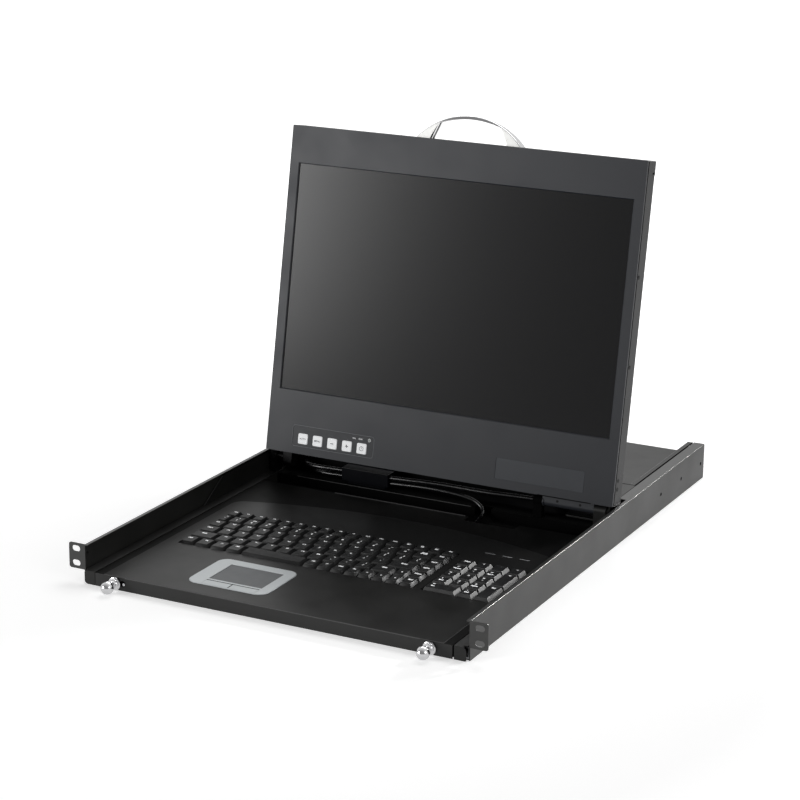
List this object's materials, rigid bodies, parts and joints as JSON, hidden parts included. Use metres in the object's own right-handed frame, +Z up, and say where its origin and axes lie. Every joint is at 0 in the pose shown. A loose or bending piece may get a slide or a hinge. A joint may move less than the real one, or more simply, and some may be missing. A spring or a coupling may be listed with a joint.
{
  "type": "rackmount lcd console drawer",
  "caption": "Rack drawer, one unit high, whose sliding tray carries a keyboard, a touchpad and a fold-up flat screen.",
  "frame": {"origin": "centre of the four rack slots, in the front face of the ears", "axes": "+X to the right seen from the front, +Y towards the back of the rack, +Z up"},
  "size_m": [0.4826, 0.6666, 0.4415],
  "materials": {
    "black_steel": "fine satin powder coat",
    "zinc_steel": "zinc plated",
    "black_plastic": "fine grain",
    "bezel_grey": "satin grey",
    "pad_grey": "matt grey",
    "chrome": "polished",
    "black_screw": "black oxide",
    "cable_black": "matt sheath",
    "board_green": "circuit board",
    "connector": "plated shells",
    "glass": "matt front",
    "panel_dark": "dark display",
    "osd_grey": "satin",
    "button_white": "satin white",
    "lamp_lens": "clear lens"
  },
  "bodies": {
    "chassis": {"chassis_pan": "black_steel", "chassis_side_left": "black_steel", "chassis_side_right": "black_steel", "slide_outer_left": "zinc_steel", "slide_outer_right": "zinc_steel", "chassis_rivets": "zinc_steel"},
    "slide_left": {"slide_middle_left": "zinc_steel"},
    "slide_right": {"slide_middle_right": "zinc_steel"},
    "tray": {"slide_inner_left": "zinc_steel", "slide_inner_right": "zinc_steel", "tray_rail_left": "black_steel", "tray_rail_right": "black_steel", "tray_pan": "black_steel", "keyboard_deck": "black_steel", "keyboard_base": "black_plastic", "touchpad_bezel": "bezel_grey", "touchpad_plate": "pad_grey", "knob_bushings": "chrome", "hinge_bracket_left": "black_steel", "hinge_bracket_right": "black_steel", "hinge_crossbar": "black_steel", "hinge_cover": "black_steel", "cable_clips": "black_plastic", "screen_cable": "cable_black", "keyboard_cable": "cable_black", "electronics_cover": "black_steel", "main_board": "board_green", "power_supply": "zinc_steel", "rear_panel": "black_steel", "rear_connectors": "connector", "tray_screws": "black_screw"},
    "screen": {"lcd_front_bezel": "black_steel", "lcd_rear_shell": "black_steel", "lcd_glass": "glass", "lcd_module": "panel_dark", "lcd_driver_boards": "board_green", "osd_plate": "osd_grey", "hinge_knuckle_left": "black_steel", "hinge_knuckle_right": "black_steel", "lcd_handle": "chrome", "lcd_screws": "black_screw", "power_lamp": "lamp_lens", "corner_catches": "black_plastic"},
    "auto_button": {"screen_button_auto": "button_white"},
    "menu_button": {"screen_button_menu": "button_white"},
    "minus_button": {"screen_button_minus": "button_white"},
    "plus_button": {"screen_button_plus": "button_white"},
    "power_button": {"screen_button_power": "button_white"},
    "pad_button_left": {"touchpad_button_left": "bezel_grey"},
    "pad_button_right": {"touchpad_button_right": "bezel_grey"},
    "knob_left": {"pull_knob_left": "chrome"},
    "knob_right": {"pull_knob_right": "chrome"},
    "function_row": {"function_row_keys": "black_plastic"},
    "number_row": {"number_row_keys": "black_plastic"},
    "tab_row": {"tab_row_keys": "black_plastic"},
    "home_row": {"home_row_keys": "black_plastic"},
    "shift_row": {"shift_row_keys": "black_plastic"},
    "bottom_row": {"bottom_row_keys": "black_plastic"},
    "space_bar": {"space_bar": "black_plastic"},
    "keypad": {"keypad_keys": "black_plastic"}
  },
  "joints": [
    {"name": "tray_slide", "type": "slide", "parent": "chassis", "child": "tray", "axis": [0, -1, 0], "range_m": [0, 0.41]},
    {"name": "slide_left_travel", "type": "slide", "parent": "chassis", "child": "slide_left", "axis": [0, -1, 0], "range_m": [0, 0.205]},
    {"name": "slide_right_travel", "type": "slide", "parent": "chassis", "child": "slide_right", "axis": [0, -1, 0], "range_m": [0, 0.205]},
    {"name": "screen_hinge", "type": "hinge", "parent": "tray", "child": "screen", "pos_m": [0, 0.3809, 0.00575], "axis": [1, 0, 0], "range_deg": [-9.8, 100.2]},
    {"name": "auto_button_press", "type": "slide", "parent": "screen", "child": "auto_button", "axis": [0, 0.9842, -0.1771], "range_m": [0, 0.0008], "stiffness_N_per_m": 600, "springref_m": -0.0012},
    {"name": "menu_button_press", "type": "slide", "parent": "screen", "child": "menu_button", "axis": [0, 0.9842, -0.1771], "range_m": [0, 0.0008], "stiffness_N_per_m": 600, "springref_m": -0.0012},
    {"name": "minus_button_press", "type": "slide", "parent": "screen", "child": "minus_button", "axis": [0, 0.9842, -0.1771], "range_m": [0, 0.0008], "stiffness_N_per_m": 600, "springref_m": -0.0012},
    {"name": "plus_button_press", "type": "slide", "parent": "screen", "child": "plus_button", "axis": [0, 0.9842, -0.1771], "range_m": [0, 0.0008], "stiffness_N_per_m": 600, "springref_m": -0.0012},
    {"name": "power_button_press", "type": "slide", "parent": "screen", "child": "power_button", "axis": [0, 0.9842, -0.1771], "range_m": [0, 0.0008], "stiffness_N_per_m": 600, "springref_m": -0.0012},
    {"name": "pad_button_left_press", "type": "slide", "parent": "tray", "child": "pad_button_left", "axis": [0, 0, -1], "range_m": [0, 0.0004], "stiffness_N_per_m": 600, "springref_m": -0.0012},
    {"name": "pad_button_right_press", "type": "slide", "parent": "tray", "child": "pad_button_right", "axis": [0, 0, -1], "range_m": [0, 0.0004], "stiffness_N_per_m": 600, "springref_m": -0.0012},
    {"name": "knob_left_pull", "type": "slide", "parent": "tray", "child": "knob_left", "axis": [0, -1, 0], "range_m": [0, 0.006], "stiffness_N_per_m": 400, "springref_m": -0.01},
    {"name": "knob_right_pull", "type": "slide", "parent": "tray", "child": "knob_right", "axis": [0, -1, 0], "range_m": [0, 0.006], "stiffness_N_per_m": 400, "springref_m": -0.01},
    {"name": "function_row_press", "type": "slide", "parent": "tray", "child": "function_row", "axis": [0, 0, -1], "range_m": [0, 0.002], "stiffness_N_per_m": 200, "springref_m": -0.004},
    {"name": "number_row_press", "type": "slide", "parent": "tray", "child": "number_row", "axis": [0, 0, -1], "range_m": [0, 0.002], "stiffness_N_per_m": 200, "springref_m": -0.004},
    {"name": "tab_row_press", "type": "slide", "parent": "tray", "child": "tab_row", "axis": [0, 0, -1], "range_m": [0, 0.002], "stiffness_N_per_m": 200, "springref_m": -0.004},
    {"name": "home_row_press", "type": "slide", "parent": "tray", "child": "home_row", "axis": [0, 0, -1], "range_m": [0, 0.002], "stiffness_N_per_m": 200, "springref_m": -0.004},
    {"name": "shift_row_press", "type": "slide", "parent": "tray", "child": "shift_row", "axis": [0, 0, -1], "range_m": [0, 0.002], "stiffness_N_per_m": 200, "springref_m": -0.004},
    {"name": "bottom_row_press", "type": "slide", "parent": "tray", "child": "bottom_row", "axis": [0, 0, -1], "range_m": [0, 0.002], "stiffness_N_per_m": 200, "springref_m": -0.004},
    {"name": "space_bar_press", "type": "slide", "parent": "tray", "child": "space_bar", "axis": [0, 0, -1], "range_m": [0, 0.002], "stiffness_N_per_m": 200, "springref_m": -0.004},
    {"name": "keypad_press", "type": "slide", "parent": "tray", "child": "keypad", "axis": [0, 0, -1], "range_m": [0, 0.002], "stiffness_N_per_m": 200, "springref_m": -0.004}
  ],
  "couplings": [
    {"joint": "slide_left_travel", "follows": "tray_slide", "ratio": 0.5},
    {"joint": "slide_right_travel", "follows": "tray_slide", "ratio": 0.5}
  ]
}
